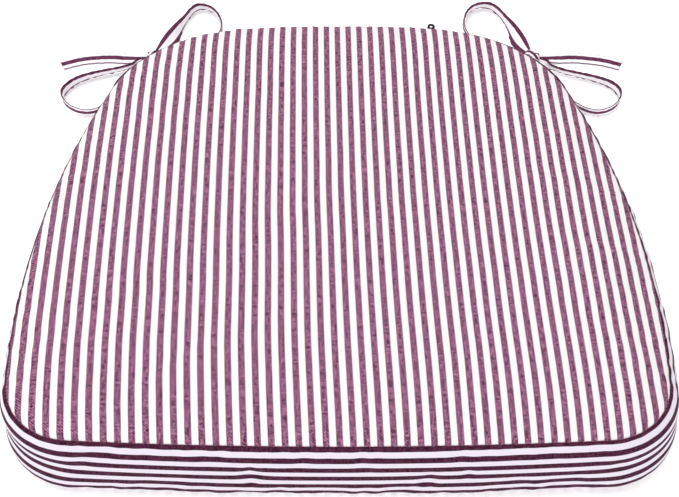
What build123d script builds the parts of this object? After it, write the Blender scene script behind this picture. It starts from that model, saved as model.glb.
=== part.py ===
"""Boxed chair seat pad with corner ties and a zipped back.

A foam core between two layers of wadding sits in a woven cover: a crowned top panel, a flat
bottom panel and a boxing strip that bulges a little between its two seams.  The back of the
boxing is a pair of gussets with a coil zip between them, and two flat straps at each back
corner are tied in a bow that lies on the surface beside the pad.

Millimetres.  Origin in the middle of the resting face, +Z up, +Y towards the back of the chair.
"""

import os
from math import atan2, cos, degrees, radians, sin, sqrt, tan

from build123d import *

# --- plan of the pad, at the seams -------------------------------------------------------
PAD_WIDTH = 432.0
PAD_DEPTH = 412.0
WIDEST_Y = -105.0
FRONT_RADIUS = 3000.0
FRONT_CORNER_RADIUS = 48.0
SIDE_RADIUS = 700.0
BACK_CORNER_RADIUS = 100.0
BACK_RADIUS = 500.0

# --- heights -----------------------------------------------------------------------------
BOTTOM_SEAM = 4.0
BOXING_HEIGHT = 50.0
TOP_SEAM = BOTTOM_SEAM + BOXING_HEIGHT
MID_HEIGHT = (BOTTOM_SEAM + TOP_SEAM) / 2
CROWN_HEIGHT = 13.0
FOAM_BOTTOM = 6.0
FOAM_TOP = 52.0

# --- cloth, wadding and foam -------------------------------------------------------------
CLOTH = 1.0
LAYER_GAP = 0.2
WALL_BULGE = 3.5
SHOULDER_BULGE = 2.2
BULGE_BAND = 12.0
FOAM_INSET = 1.4

# --- zip ---------------------------------------------------------------------------------
ZIP_HALF_LENGTH = 86.0
ZIP_SLIDER_REACH = 72.0
GUSSET_HALF_LENGTH = 92.0
ZIP_OPENING = 10.0
SLOT_END_GAP = 1.0
TAPE_THICKNESS = 0.6
COIL_WIDTH = 2.8
COIL_THICKNESS = 1.6
COIL_HALF_GAP = 0.6
TACK_LENGTH = 3.0
TACK_END_GAP = 0.5
TACK_EDGE_GAP = 1.0
STITCH_THREAD = 0.6
TOPSTITCH_INSET = 2.5
SEAM_THREAD = 0.5
THREAD_GAP = 0.1
CUTTER_REACH = 20.0

# --- slider and pull ---------------------------------------------------------------------
RUNNING_GAP = 0.35
SLIDER_LENGTH = 11.0
SLIDER_WIDTH = 9.0
SLIDER_ROUNDING = 2.25
PLATE = 1.0
FLANGE_LENGTH = 6.0
WEB_LENGTH = 3.0
CROWN_BAR_RADIUS = 0.7
CROWN_SPAN = 5.0
BAR_STANDOFF = 2.25
PULL_LENGTH = 28.5
PULL_WIDTH = 6.0
PULL_THICKNESS = 1.1
PULL_NECK = 2.6
NECK_LENGTH = 3.2
SHOULDER = 1.5
PULL_HOLE_RADIUS = 1.2
KNUCKLE_RADIUS = 1.85
PULL_LEAN = 8.0

# --- ties --------------------------------------------------------------------------------
STRAP_WIDTH = 13.6
STRAP_THICKNESS = 1.6
ARC_SHARE = 0.45
LEAD_HEIGHT = 4.2
KNOT_SIZE = (16.0, 18.0, 14.0)
KNOT_ROUNDING = 4.0
TIE_TACK_SIZE = (2.5, 11.0, 0.6)

# Each bow: the knot's middle, the loop that lies behind the pad, the loop beside it, and the
# two tails.  Plan points chosen by hand, as the straps lie on the surface.
BOWS = {
    "left": {
        "knot": (-155, 224),
        "back_loop": [(-143, 245), (-134.5, 268), (-128, 286), (-121, 293), (-110, 289),
                      (-102, 275), (-100, 260), (-106, 245), (-122, 234)],
        "side_loop": [(-176, 211), (-192, 206), (-208, 200), (-219, 192), (-226, 179), (-222, 166.5),
                      (-211, 157), (-198, 155.5), (-187, 165), (-174, 184), (-164, 203)],
        "back_tail": [(-122, 202), (-93, 208), (-62, 210)],
        "side_tail": [(-176, 229), (-190, 231), (-205, 230), (-219, 227.5), (-231.5, 221.5)],
    },
    "right": {
        "knot": (158, 224),
        "back_loop": [(149, 243), (142, 268), (134, 287), (125, 295), (113, 292),
                      (105, 279), (103, 262), (110, 245), (126, 234)],
        "side_loop": [(177, 208.5), (193, 202.5), (208, 197), (220, 190), (226, 179), (223, 167),
                      (214, 158), (202, 155), (189, 163), (175, 183), (166, 203)],
        "back_tail": [(125, 202), (95, 207), (64, 210)],
        "side_tail": [(178, 229.5), (193, 231), (207, 229), (220, 226.5), (232, 221)],
    },
}

wall_radius = BACK_RADIUS + WALL_BULGE
zip_centre = Vector(0, PAD_DEPTH / 2 - BACK_RADIUS)


# --- plan outline ------------------------------------------------------------------------
def corner_centre(circle_a, circle_b, corner_radius, side):
    """Centre of the corner arc that touches two larger arcs from inside."""
    centre_a, radius_a = circle_a
    centre_b, radius_b = circle_b
    reach_a = radius_a - corner_radius
    reach_b = radius_b - corner_radius
    span = centre_b - centre_a
    along = (reach_a**2 - reach_b**2 + span.length**2) / (2 * span.length)
    across = side * sqrt(reach_a**2 - along**2)
    direction = span.normalized()
    return centre_a + direction * along + direction.rotate(Axis.Z, 90) * across


def bearing(start, end):
    """Direction from one plan point to another, in degrees from +X."""
    step = end - start
    return degrees(atan2(step.Y, step.X))


def half_plan_arcs():
    """Right half of the plan, front middle to back middle: centre, radius, start and end angle."""
    front = Vector(0, FRONT_RADIUS - PAD_DEPTH / 2)
    flank = Vector(PAD_WIDTH / 2 - SIDE_RADIUS, WIDEST_Y)
    front_corner = corner_centre((front, FRONT_RADIUS), (flank, SIDE_RADIUS), FRONT_CORNER_RADIUS, 1)
    back_corner = corner_centre((zip_centre, BACK_RADIUS), (flank, SIDE_RADIUS), BACK_CORNER_RADIUS, -1)
    turns = [
        -90,
        bearing(front, front_corner),
        bearing(flank, front_corner),
        bearing(flank, back_corner),
        bearing(zip_centre, back_corner),
        90,
    ]
    centres = [front, front_corner, flank, back_corner, zip_centre]
    radii = [FRONT_RADIUS, FRONT_CORNER_RADIUS, SIDE_RADIUS, BACK_CORNER_RADIUS, BACK_RADIUS]
    return list(zip(centres, radii, turns[:-1], turns[1:]))


plan_arcs = half_plan_arcs()
back_corner_middle = plan_arcs[3][0]


def plan_face(height, grow=0.0, shrink=1.0):
    """The pad's plan at one height, grown outwards evenly and then shrunk about the middle."""
    with BuildSketch(Plane.XY.offset(height)) as plan:
        with BuildLine():
            for centre, radius, start, end in plan_arcs:
                CenterArc(centre * shrink, (radius + grow) * shrink, start, end - start)
            mirror(about=Plane.YZ)
        make_face()
    return plan.sketch


def wall_sections(grow=0.0):
    """Sections up the boxing: it leaves each seam at an angle and is upright in its middle band."""
    shoulder = (BOXING_HEIGHT / 2 - BULGE_BAND) / 2
    levels = [
        (BOTTOM_SEAM, 0.0),
        (BOTTOM_SEAM + shoulder, SHOULDER_BULGE),
        (MID_HEIGHT - BULGE_BAND, WALL_BULGE),
        (MID_HEIGHT + BULGE_BAND, WALL_BULGE),
        (TOP_SEAM - shoulder, SHOULDER_BULGE),
        (TOP_SEAM, 0.0),
    ]
    return [plan_face(height, grow + bulge) for height, bulge in levels]


def dome_sections(seam_height, rise, inset, shares):
    """Sections from a seam to the flat middle of a panel, or of the layer lying inset within it."""
    inward = -inset if rise > 0 else inset
    return [
        plan_face(seam_height + inward + rise * share, -inset, size)
        for size, share in shares
    ]


# Share of the plan's size, and of the panel's rise, from the seam inwards.
CROWN_SHARES = [(1.0, 0.0), (0.975, 0.36), (0.92, 0.68), (0.84, 0.87), (0.72, 1.0)]
BASE_SHARES = [(1.0, 0.0), (0.985, 0.7), (0.955, 1.0)]


def zip_sector(height, inner_radius, outer_radius, start_length, end_length):
    """Flat slice of a ring about the zip's centre, between two lengths along the wall from X = 0."""
    start = 90 - degrees(end_length / wall_radius)
    sweep_angle = degrees((end_length - start_length) / wall_radius)
    with BuildSketch(Plane.XY.offset(height)) as sector:
        with BuildLine():
            outer = CenterArc(zip_centre, outer_radius, start, sweep_angle)
            inner = CenterArc(zip_centre, inner_radius, start, sweep_angle)
            Line(outer @ 0, inner @ 0)
            Line(outer @ 1, inner @ 1)
        make_face()
    return sector.sketch


def corner_radii(points):
    """Arcs as large as the straight runs of a strap's route allow, with a short run left between."""
    radii = []
    for before, corner, after in zip(points, points[1:], points[2:]):
        incoming = corner - before
        outgoing = after - corner
        half_turn = radians(incoming.get_angle(outgoing)) / 2
        radii.append(ARC_SHARE * min(incoming.length, outgoing.length) / tan(half_turn))
    return radii


def strap_face(route, plan_width, bottom):
    """Plan of one stretch of strap, following a route of straight runs and tangent arcs."""
    points = [Vector(*point) for point in route]
    with BuildSketch(Plane.XY.offset(bottom)) as stretch:
        with BuildLine():
            if len(points) > 2:
                radii = corner_radii(points)
                print("strap arc radii:", [round(radius, 1) for radius in radii])
                FilletPolyline(*points, radius=radii)
            else:
                Polyline(*points)
        trace(line_width=plan_width)
    return stretch.sketch


def save(part, name):
    """Label one finished piece and write it."""
    part.part.label = name
    export_step(part.part, f"parts/{name}.step")


os.makedirs("parts", exist_ok=True)

# --- filling -----------------------------------------------------------------------------
filling_inset = CLOTH + LAYER_GAP

with BuildPart() as foam_core:
    extrude(to_extrude=plan_face(FOAM_BOTTOM, -FOAM_INSET), amount=FOAM_TOP - FOAM_BOTTOM)
save(foam_core, "foam_core")

with BuildPart() as wadding_top:
    rim_top = TOP_SEAM - filling_inset
    extrude(to_extrude=plan_face(FOAM_TOP, -filling_inset), amount=rim_top - FOAM_TOP)
    loft(sections=dome_sections(TOP_SEAM, CROWN_HEIGHT, filling_inset, CROWN_SHARES), ruled=True)
save(wadding_top, "wadding_top")

with BuildPart() as wadding_bottom:
    rim_bottom = BOTTOM_SEAM + filling_inset
    extrude(to_extrude=plan_face(rim_bottom, -filling_inset), amount=FOAM_BOTTOM - rim_bottom)
    loft(sections=dome_sections(BOTTOM_SEAM, -BOTTOM_SEAM, filling_inset, BASE_SHARES), ruled=True)
save(wadding_bottom, "wadding_bottom")

# --- cover: top and bottom panels ---------------------------------------------------------
with BuildPart() as top_panel:
    loft(sections=dome_sections(TOP_SEAM, CROWN_HEIGHT, 0, CROWN_SHARES), ruled=True)
    loft(
        sections=dome_sections(TOP_SEAM, CROWN_HEIGHT, CLOTH, CROWN_SHARES),
        ruled=True,
        mode=Mode.SUBTRACT,
    )
save(top_panel, "top_panel")

with BuildPart() as bottom_panel:
    loft(sections=dome_sections(BOTTOM_SEAM, -BOTTOM_SEAM, 0, BASE_SHARES), ruled=True)
    loft(
        sections=dome_sections(BOTTOM_SEAM, -BOTTOM_SEAM, CLOTH, BASE_SHARES),
        ruled=True,
        mode=Mode.SUBTRACT,
    )
save(bottom_panel, "bottom_panel")

# --- cover: boxing strip and the two zip gussets -------------------------------------------
with BuildPart() as wall_block:
    loft(sections=wall_sections(), ruled=True)

with BuildPart() as wall:
    add(wall_block.part)
    loft(sections=wall_sections(-CLOTH), ruled=True, mode=Mode.SUBTRACT)

cutter_radii = (wall_radius - CUTTER_REACH, wall_radius + CUTTER_REACH)
gusset_span = (-GUSSET_HALF_LENGTH, GUSSET_HALF_LENGTH)
zip_span = (-ZIP_HALF_LENGTH, ZIP_HALF_LENGTH)
slot_span = (-ZIP_HALF_LENGTH - SLOT_END_GAP, ZIP_HALF_LENGTH + SLOT_END_GAP)

with BuildPart() as gusset_zone:
    extrude(to_extrude=zip_sector(0, *cutter_radii, *gusset_span), amount=TOP_SEAM + CROWN_HEIGHT)

with BuildPart() as zip_slot:
    slot = zip_sector(MID_HEIGHT - ZIP_OPENING / 2, *cutter_radii, *slot_span)
    extrude(to_extrude=slot, amount=ZIP_OPENING)

with BuildPart() as boxing_strip:
    add(wall.part)
    add(gusset_zone.part, mode=Mode.SUBTRACT)
save(boxing_strip, "boxing_strip")

for half, up in (("upper", 1), ("lower", -1)):
    with BuildPart() as gusset:
        add(wall.part)
        add(gusset_zone.part, mode=Mode.INTERSECT)
        add(zip_slot.part, mode=Mode.SUBTRACT)
        split(bisect_by=Plane.XY.offset(MID_HEIGHT), keep=Keep.TOP if up > 0 else Keep.BOTTOM)
    save(gusset, f"zip_gusset_{half}")

# --- seam thread: a lockstitch line in the corner inside each seam ---------------------------
thread_inset = filling_inset - LAYER_GAP / 4 - SEAM_THREAD

thread_heights = {
    "top": FOAM_TOP + THREAD_GAP,
    "bottom": FOAM_BOTTOM - THREAD_GAP - SEAM_THREAD,
}

for seam, height in thread_heights.items():
    with BuildPart() as seam_thread:
        extrude(to_extrude=plan_face(height, -thread_inset), amount=SEAM_THREAD)
        extrude(
            to_extrude=plan_face(height, -thread_inset - SEAM_THREAD),
            amount=SEAM_THREAD,
            mode=Mode.SUBTRACT,
        )
    save(seam_thread, f"{seam}_seam_thread")

# --- zip: tapes behind the gussets, coils facing out in the slot ---------------------------
tape_outer = wall_radius - CLOTH - LAYER_GAP / 2
tape_inner = tape_outer - TAPE_THICKNESS
coil_outer = tape_outer + COIL_THICKNESS

for half, up in (("upper", 1), ("lower", -1)):
    with BuildPart() as zip_tape:
        edge = MID_HEIGHT + up * COIL_HALF_GAP
        face = zip_sector(edge, tape_inner, tape_outer, *zip_span)
        extrude(to_extrude=face, amount=up * (BULGE_BAND - COIL_HALF_GAP))
    save(zip_tape, f"zip_tape_{half}")

    with BuildPart() as zip_coil:
        face = zip_sector(edge, tape_outer, coil_outer, *zip_span)
        extrude(to_extrude=face, amount=up * COIL_WIDTH)
        outer_edges = zip_coil.edges().filter_by(GeomType.CIRCLE).group_by(
            lambda arc: round(arc.radius, 2)
        )[-1]
        chamfer(outer_edges, length=COIL_THICKNESS / 3)
    save(zip_coil, f"zip_coil_{half}")

    with BuildPart() as topstitch:
        line = MID_HEIGHT + up * (ZIP_OPENING / 2 + TOPSTITCH_INSET)
        face = zip_sector(line, wall_radius, wall_radius + STITCH_THREAD, *zip_span)
        extrude(to_extrude=face, amount=up * STITCH_THREAD)
    save(topstitch, f"zip_topstitch_{half}")

tack_end = ZIP_HALF_LENGTH - TACK_END_GAP
tack_half_height = ZIP_OPENING / 2 - TACK_EDGE_GAP
for end, direction in (("closed", 1), ("open", -1)):
    with BuildPart() as end_tack:
        reach = sorted([direction * (tack_end - TACK_LENGTH), direction * tack_end])
        face = zip_sector(MID_HEIGHT - tack_half_height, coil_outer, coil_outer + STITCH_THREAD, *reach)
        extrude(to_extrude=face, amount=2 * tack_half_height)
    save(end_tack, f"zip_end_tack_{end}")

# --- slider: two plates, flanges, a web between the coils and a crown bar ------------------
slider_angle = 90 - degrees(ZIP_SLIDER_REACH / wall_radius)
outward = Vector(1, 0).rotate(Axis.Z, slider_angle)
slider_plane = Plane(
    origin=zip_centre + Vector(0, 0, MID_HEIGHT),
    x_dir=outward.rotate(Axis.Z, 90),
    z_dir=outward,
)
back_plate_face = tape_inner - RUNNING_GAP
front_plate_face = coil_outer + RUNNING_GAP
flange_face = tape_outer + RUNNING_GAP
bar_radius_out = front_plate_face + PLATE + BAR_STANDOFF
channel_half = COIL_HALF_GAP + COIL_WIDTH + RUNNING_GAP
flange_width = SLIDER_WIDTH / 2 - channel_half
post_size = 2 * CROWN_BAR_RADIUS

with BuildPart() as zip_slider:
    for plate_start, amount in ((back_plate_face, -PLATE), (front_plate_face, PLATE)):
        with BuildSketch(slider_plane.offset(plate_start)):
            RectangleRounded(SLIDER_LENGTH, SLIDER_WIDTH, SLIDER_ROUNDING)
        extrude(amount=amount)
    with BuildSketch(slider_plane.offset(flange_face)):
        with GridLocations(0, 2 * channel_half + flange_width, 1, 2):
            Rectangle(FLANGE_LENGTH, flange_width)
    extrude(amount=front_plate_face - flange_face)
    with BuildSketch(slider_plane.offset(back_plate_face)):
        with Locations((-SLIDER_LENGTH / 2 + WEB_LENGTH, 0)):
            Rectangle(WEB_LENGTH, 2 * (COIL_HALF_GAP - RUNNING_GAP))
    extrude(amount=front_plate_face - back_plate_face)
    with BuildSketch(slider_plane.offset(front_plate_face + PLATE)):
        with GridLocations(CROWN_SPAN, 0, 2, 1):
            Rectangle(post_size, post_size)
    extrude(amount=BAR_STANDOFF + CROWN_BAR_RADIUS)
    bar_plane = Plane(
        origin=slider_plane.origin + outward * bar_radius_out - slider_plane.x_dir * CROWN_SPAN / 2,
        z_dir=slider_plane.x_dir,
    )
    with BuildSketch(bar_plane):
        Circle(CROWN_BAR_RADIUS)
    extrude(amount=CROWN_SPAN)
save(zip_slider, "zip_slider")

# --- pull: a tab on a knuckle round the crown bar, flipped up to lean on the boxing ---------
lean = radians(PULL_LEAN)
half_neck = PULL_NECK / 2
half_width = PULL_WIDTH / 2
bar_middle = slider_plane.origin + outward * bar_radius_out
pull_plane = Plane(
    origin=bar_middle,
    x_dir=slider_plane.x_dir,
    z_dir=outward * cos(lean) + Vector(0, 0, 1) * sin(lean),
)

with BuildPart() as zip_pull:
    with BuildSketch(pull_plane.offset(-PULL_THICKNESS / 2)):
        with BuildLine():
            neck = Polyline((0, 0), (half_neck, 0), (half_neck, NECK_LENGTH))
            flank = Line((half_width, NECK_LENGTH + SHOULDER), (half_width, PULL_LENGTH - half_width))
            Line(neck @ 1, flank @ 0)
            RadiusArc(flank @ 1, (0, PULL_LENGTH), -half_width)
            mirror(about=Plane.YZ)
        make_face()
    extrude(amount=PULL_THICKNESS)
    knuckle_plane = Plane(origin=bar_middle - slider_plane.x_dir * half_neck, z_dir=slider_plane.x_dir)
    with BuildSketch(knuckle_plane):
        Circle(KNUCKLE_RADIUS)
    extrude(amount=PULL_NECK)
    with BuildSketch(knuckle_plane):
        Circle(CROWN_BAR_RADIUS + RUNNING_GAP)
    extrude(amount=PULL_NECK, mode=Mode.SUBTRACT)
    with BuildSketch(pull_plane.offset(-PULL_THICKNESS / 2)):
        with Locations((0, PULL_LENGTH - half_width)):
            Circle(PULL_HOLE_RADIUS)
    extrude(amount=PULL_THICKNESS, mode=Mode.SUBTRACT)
save(zip_pull, "zip_pull")

# --- ties: two straps and a bow at each back corner ----------------------------------------
for side, bow in BOWS.items():
    across = -1 if side == "left" else 1
    print(f"{side} bow")
    knot_middle = Vector(*bow["knot"])
    corner = Vector(across * back_corner_middle.X, back_corner_middle.Y)
    lead_direction = (knot_middle - corner).normalized()
    seam_point = corner + lead_direction * BACK_CORNER_RADIUS

    with BuildPart() as bow_knot:
        with BuildSketch(Plane(origin=knot_middle, x_dir=lead_direction, z_dir=(0, 0, 1))):
            RectangleRounded(KNOT_SIZE[0], KNOT_SIZE[1], KNOT_ROUNDING)
        extrude(amount=KNOT_SIZE[2])
        fillet(bow_knot.faces().sort_by(Axis.Z)[-1].edges(), radius=KNOT_ROUNDING / 2)
    save(bow_knot, f"{side}_bow_knot")

    for layer, strap in enumerate(("back", "side")):
        lead_bottom = LEAD_HEIGHT + layer * (STRAP_THICKNESS + LAYER_GAP)
        lead = [seam_point - lead_direction * STRAP_WIDTH, knot_middle]
        return_direction = (Vector(*bow[f"{strap}_loop"][-1]) - knot_middle).normalized()
        loop = [knot_middle, *bow[f"{strap}_loop"], knot_middle + return_direction * KNOT_ROUNDING]
        tail = [knot_middle, *bow[f"{strap}_tail"]]
        with BuildPart() as tie_strap:
            extrude(to_extrude=strap_face(lead, STRAP_WIDTH, lead_bottom), amount=STRAP_THICKNESS)
            extrude(to_extrude=strap_face(loop, STRAP_THICKNESS, 0), amount=STRAP_WIDTH)
            extrude(to_extrude=strap_face(tail, STRAP_WIDTH, 0), amount=STRAP_THICKNESS)
            add(bow_knot.part, mode=Mode.SUBTRACT)
            add(wall_block.part, mode=Mode.SUBTRACT)
        save(tie_strap, f"{side}_{strap}_tie")

    with BuildPart() as tie_tack:
        tack_bottom = LEAD_HEIGHT + 2 * STRAP_THICKNESS + LAYER_GAP
        tack_middle = seam_point + lead_direction * (WALL_BULGE + TIE_TACK_SIZE[0])
        with BuildSketch(
            Plane(
                origin=tack_middle + Vector(0, 0, tack_bottom),
                x_dir=lead_direction,
                z_dir=(0, 0, 1),
            )
        ):
            Rectangle(TIE_TACK_SIZE[0], TIE_TACK_SIZE[1])
        extrude(amount=TIE_TACK_SIZE[2])
    save(tie_tack, f"{side}_tie_tack")
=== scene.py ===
"""Looks of the boxed chair seat pad: striped ticking cover, zip, filling and corner bows.

Lengths in this file are millimetres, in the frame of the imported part; build() turns them into
metres.  The cover is one grid of rings round the pad, inflated as cloth and then cut into its
panels.  The bows are flat tubes of ticking that follow NURBS routes.
"""

from math import atan2, ceil, cos, pi, radians, sin, sqrt, tau

import bmesh
import bpy
import numpy as np
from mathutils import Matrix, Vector


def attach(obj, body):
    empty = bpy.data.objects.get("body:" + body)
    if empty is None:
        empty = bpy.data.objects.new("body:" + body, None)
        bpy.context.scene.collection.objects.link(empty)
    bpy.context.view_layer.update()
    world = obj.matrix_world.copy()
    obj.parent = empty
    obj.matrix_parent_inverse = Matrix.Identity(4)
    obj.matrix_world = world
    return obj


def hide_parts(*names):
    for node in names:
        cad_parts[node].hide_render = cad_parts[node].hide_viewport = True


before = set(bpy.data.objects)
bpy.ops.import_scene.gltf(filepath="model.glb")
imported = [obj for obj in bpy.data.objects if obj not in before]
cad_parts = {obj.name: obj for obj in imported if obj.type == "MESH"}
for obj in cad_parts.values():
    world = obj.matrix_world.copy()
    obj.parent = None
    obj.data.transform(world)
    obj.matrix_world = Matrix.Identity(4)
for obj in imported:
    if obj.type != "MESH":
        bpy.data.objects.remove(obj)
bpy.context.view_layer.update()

MM = 0.001
UP = Vector((0, 0, 1))

# --- plan and heights of the pad, as in the CAD model ----------------------------------------
PAD_WIDTH = 432.0
PAD_DEPTH = 412.0
WIDEST_Y = -105.0
FRONT_RADIUS = 3000.0
FRONT_CORNER_RADIUS = 48.0
SIDE_RADIUS = 700.0
BACK_CORNER_RADIUS = 100.0
BACK_RADIUS = 500.0
BOTTOM_SEAM = 4.0
BOXING_HEIGHT = 50.0
TOP_SEAM = BOTTOM_SEAM + BOXING_HEIGHT
MID_HEIGHT = BOTTOM_SEAM + BOXING_HEIGHT / 2
CROWN_HEIGHT = 13.0
CROWN_REACH = 80.0
WALL_RADIUS = 503.5
GUSSET_HALF_LENGTH = 92.0
ZIP_HALF_LENGTH = 86.0
SLOT_CLOSING = 0.15

# --- cloth -------------------------------------------------------------------------------
CLOTH = 0.7
BOXING_BULGE = 4.8
SEAM_SHIFT = -1.9
SEAM_INSET = 1.5
STRIPE_PITCH = 8.51
GROOVE_DEPTH = 1.1
GROOVE_WIDTH = 1.5
TUCK_DEPTH = 2.2
FLOOR_GAP = 0.1


# --- camera ------------------------------------------------------------------------------
CAMERA_PLACE = (0.0, -777.0, 837.3)
CAMERA_DOWN = radians(46.66)
FOCAL_LENGTH = 82.72
OFF_CENTRE = -0.0022

camera_data = bpy.data.cameras.new("camera")
camera_data.lens = FOCAL_LENGTH
camera_data.sensor_width = 36
camera_data.shift_x = OFF_CENTRE
camera = bpy.data.objects.new("camera", camera_data)
camera.location = Vector(CAMERA_PLACE) * MM
camera.rotation_euler = (pi / 2 - CAMERA_DOWN, 0, 0)
bpy.context.scene.collection.objects.link(camera)
bpy.context.scene.camera = camera


# --- mesh helpers ------------------------------------------------------------------------
def build(name, points, faces, fabric=None):
    """A new object from points in millimetres, with its fabric coordinates kept as an attribute."""
    mesh = bpy.data.meshes.new(name)
    mesh.from_pydata((np.asarray(points, float).reshape(-1, 3) * MM).tolist(), [], faces)
    if fabric is not None:
        weave = mesh.attributes.new("fabric", "FLOAT_VECTOR", "POINT")
        weave.data.foreach_set("vector", np.asarray(fabric, np.float32).ravel())
    mesh.shade_smooth()
    obj = bpy.data.objects.new(name, mesh)
    bpy.context.scene.collection.objects.link(obj)
    return obj


def grid_faces(rows, columns, closed=False):
    """Quads of a grid of points; a closed grid joins its last column to its first."""
    last = columns if closed else columns - 1
    faces = []
    for row in range(rows - 1):
        for column in range(last):
            beside = (column + 1) % columns
            corner = row * columns
            faces.append((corner + column, corner + beside, corner + columns + beside,
                          corner + columns + column))
    return faces


def end_caps(rows, columns):
    """Faces that close the middle of the top and the middle of the base."""
    return [tuple(reversed(range(columns))), tuple(range((rows - 1) * columns, rows * columns))]


def thicken(obj, thickness):
    """Give a cloth surface its thickness, on the inner side."""
    shell = obj.modifiers.new("cloth thickness", "SOLIDIFY")
    shell.thickness = thickness * MM
    shell.offset = -1
    shell.use_even_offset = False
    return obj


def tube_points(path, radius, sides=6, radii=None):
    """Rings of points round a path; radii scales each ring."""
    path = np.asarray(path, float)
    along = np.gradient(path, axis=0)
    along /= np.linalg.norm(along, axis=1)[:, None]
    helper = np.where(np.abs(along[:, 2:3]) < 0.9, [[0.0, 0.0, 1.0]], [[1.0, 0.0, 0.0]])
    side = np.cross(helper, along)
    side /= np.linalg.norm(side, axis=1)[:, None]
    over = np.cross(along, side)
    size = radius * (np.ones(len(path)) if radii is None else np.asarray(radii))
    turns = np.arange(sides) * tau / sides
    ring = side[:, None] * np.cos(turns)[None, :, None] + over[:, None] * np.sin(turns)[None, :, None]
    return path[:, None] + ring * size[:, None, None]


def tube_faces(rings, sides, start=0):
    """Faces of one closed tube whose points begin at start."""
    faces = [tuple(start + i for i in face) for face in grid_faces(rings, sides, closed=True)]
    faces.append(tuple(start + i for i in range(sides)))
    faces.append(tuple(start + (rings - 1) * sides + i for i in reversed(range(sides))))
    return faces


THREAD_SIDES = 6
# Places along one stitch, and the thread's thickness there.
STITCH_PLACES = np.array([0.0, 0.12, 0.35, 0.65, 0.88, 1.0])
STITCH_TAPER = [0.45, 0.85, 1, 1, 0.85, 0.45]
TACK_THREAD = 0.27
TACK_PITCH = 0.42
TACK_POINTS = 8


def stitches(name, path, outward, length, pitch, radius, rise):
    """Separate stitches of thread along a path: each arches out of the cloth and dips back in."""
    path = np.asarray(path, float)
    outward = np.asarray(outward, float)
    steps = np.r_[0, np.cumsum(np.linalg.norm(np.diff(path, axis=0), axis=1))]
    points, faces = [], []
    for start in np.arange(0, steps[-1] - length, pitch):
        place = start + STITCH_PLACES * length
        centre = np.stack([np.interp(place, steps, path[:, k]) for k in range(3)], 1)
        lift = np.stack([np.interp(place, steps, outward[:, k]) for k in range(3)], 1)
        arch = rise * np.sin(pi * STITCH_PLACES) - radius
        rings = tube_points(centre + lift * arch[:, None], radius, THREAD_SIDES, radii=STITCH_TAPER)
        first_point = len(points) * len(STITCH_PLACES) * THREAD_SIDES
        faces += tube_faces(len(STITCH_PLACES), THREAD_SIDES, start=first_point)
        points.append(rings)
    return build(name, np.concatenate(points), faces)


def bar_tack(name, count, place):
    """Threads side by side; place gives a point from a thread's shift and the share along it."""
    lines, faces = [], []
    for strand in range(count):
        shift = (strand - (count - 1) / 2) * TACK_PITCH
        path = [place(shift, share) for share in np.linspace(0, 1, TACK_POINTS)]
        lines.append(tube_points(path, TACK_THREAD, THREAD_SIDES))
        faces += tube_faces(TACK_POINTS, THREAD_SIDES, start=strand * TACK_POINTS * THREAD_SIDES)
    return build(name, np.concatenate(lines), faces)


# --- ties -------------------------------------------------------------------------------------
STRAP_WIDTH = 13.6
STRAP_THICKNESS = 1.1
STEP = 1.3
SECTION_POINTS = 17

# Each bow, as in the CAD model: the knot, the loop behind the pad, the loop beside it, two tails.
BOWS = {
    "left": {
        "exit": (-131.5, 184.0),
        "knot": (-155, 224),
        "back_loop": [(-143, 245), (-134.5, 268), (-128, 286), (-121, 293), (-110, 289),
                      (-102, 275), (-100, 260), (-106, 245), (-122, 234)],
        "side_loop": [(-176, 211), (-192, 206), (-208, 200), (-219, 192), (-226, 179), (-222, 166.5),
                      (-211, 157), (-198, 155.5), (-187, 165), (-174, 184), (-164, 203)],
        "back_tail": [(-122, 202), (-93, 208), (-62, 210)],
        "side_tail": [(-176, 229), (-190, 231), (-205, 230), (-219, 227.5), (-231.5, 221.5)],
    },
    "right": {
        "exit": (132.9, 183.1),
        "knot": (158, 224),
        "back_loop": [(149, 243), (142, 268), (134, 287), (125, 295), (113, 292),
                      (105, 279), (103, 262), (110, 245), (126, 234)],
        "side_loop": [(177, 208.5), (193, 202.5), (208, 197), (220, 190), (226, 179), (223, 167),
                      (214, 158), (202, 155), (189, 163), (175, 183), (166, 203)],
        "back_tail": [(125, 202), (95, 207), (64, 210)],
        "side_tail": [(178, 229.5), (193, 231), (207, 229), (220, 226.5), (232, 221)],
    },
}
LEAD_HEIGHT = 5.0
KNOT_HEIGHT = 7.0
LOOP_HEIGHT = 6.6
TAIL_HEIGHT = 0.9
# Direction across the upright strap at the start, the middle and the end of its loop.
LOOP_TILT = {
    "back": [(0, -0.25, 0.97), (0, -0.52, 0.85), (0, -0.55, 0.84)],
    "side": [(0, -0.62, 0.78), (0, -0.30, 0.95), (0, -0.70, 0.715)],
}
# Control points over which the strap turns upright after the knot.
TURN_LENGTH = {"back": 2.5, "side": 0.9}
# Narrowing of the dyed edges on the back face: its size, its base and its growth downwards.
THIN_EDGE = 0.21
THIN_BASE = 0.8
THIN_GROWTH = 1.1
SIDE_STRAP_LIFT = 1.8
# How soon the strap turns over at the knot, in control points either side of it.
TURN_IN = (-0.4, 0.2)
TURN_OUT = (-0.7, 0.4)
GATHER_REACH = 14.0
GATHER_SHARE = 0.62
GATHER_FOLD = 0.9
CREASE_LENGTHS = (5, 7, 11)
CREASE_DEPTH = 0.28
EDGE_WAVE = 0.7
CUP_DEPTH = 0.7
CUP_LEVEL = 0.4
SECTION_SQUARENESS = 6


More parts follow.
